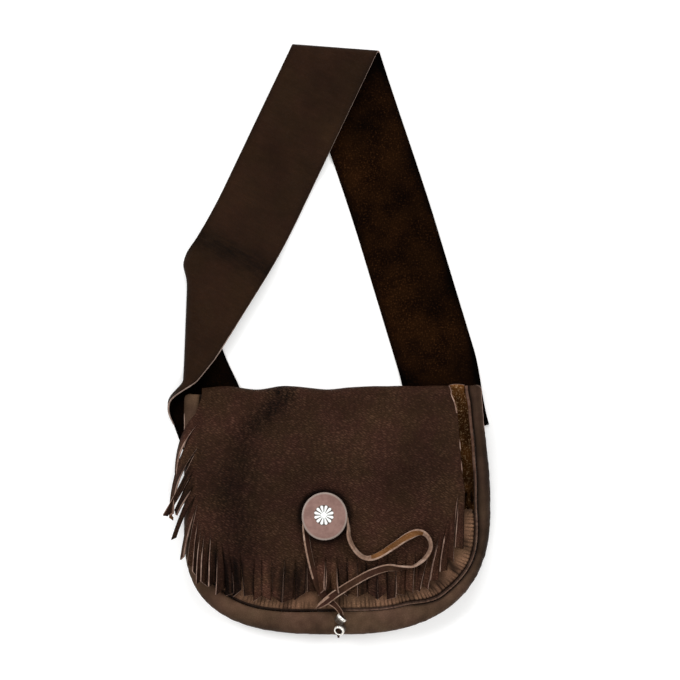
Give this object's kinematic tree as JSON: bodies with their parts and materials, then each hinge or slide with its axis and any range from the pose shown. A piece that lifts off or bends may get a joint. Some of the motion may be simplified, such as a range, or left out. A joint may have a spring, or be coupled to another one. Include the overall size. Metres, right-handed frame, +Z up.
{
  "type": "fringe bag",
  "caption": "Soft dark brown leather flap bag with cut fringe, a wide shoulder strap, a round button with a flower inlay and a beaded closure lace.",
  "frame": {"origin": "middle of the back panel, on its flat outer face that the bag lies on", "axes": "+X to the bag's right seen from above, +Y from the bag's bottom to its top and the strap, +Z up, away from the back panel"},
  "size_m": [0.3036, 0.5574, 0.0421],
  "materials": {
    "flap_leather": "pebbled grain, semi-matte",
    "front_leather": "grain, semi-matte",
    "gusset_leather": "grain, semi-matte",
    "front_welt_leather": "cut edge",
    "back_welt_leather": "cut edge",
    "strap_leather": "smooth grain one side, suede the other",
    "button_horn": "polished, horn-like",
    "inlay_silver": "bright white metal",
    "lace_leather": "grain one side, suede the other, pale cut edges",
    "bead_silver": "polished"
  },
  "bodies": {
    "root": {"back_and_flap": "flap_leather", "front_panel": "front_leather", "gusset": "gusset_leather", "front_welt": "front_welt_leather", "back_welt": "back_welt_leather", "shoulder_strap": "strap_leather", "button": "button_horn", "flower_inlay": "inlay_silver", "closure_lace": "lace_leather", "bead_lower": "bead_silver", "bead_upper": "bead_silver"}
  },
  "joints": []
}
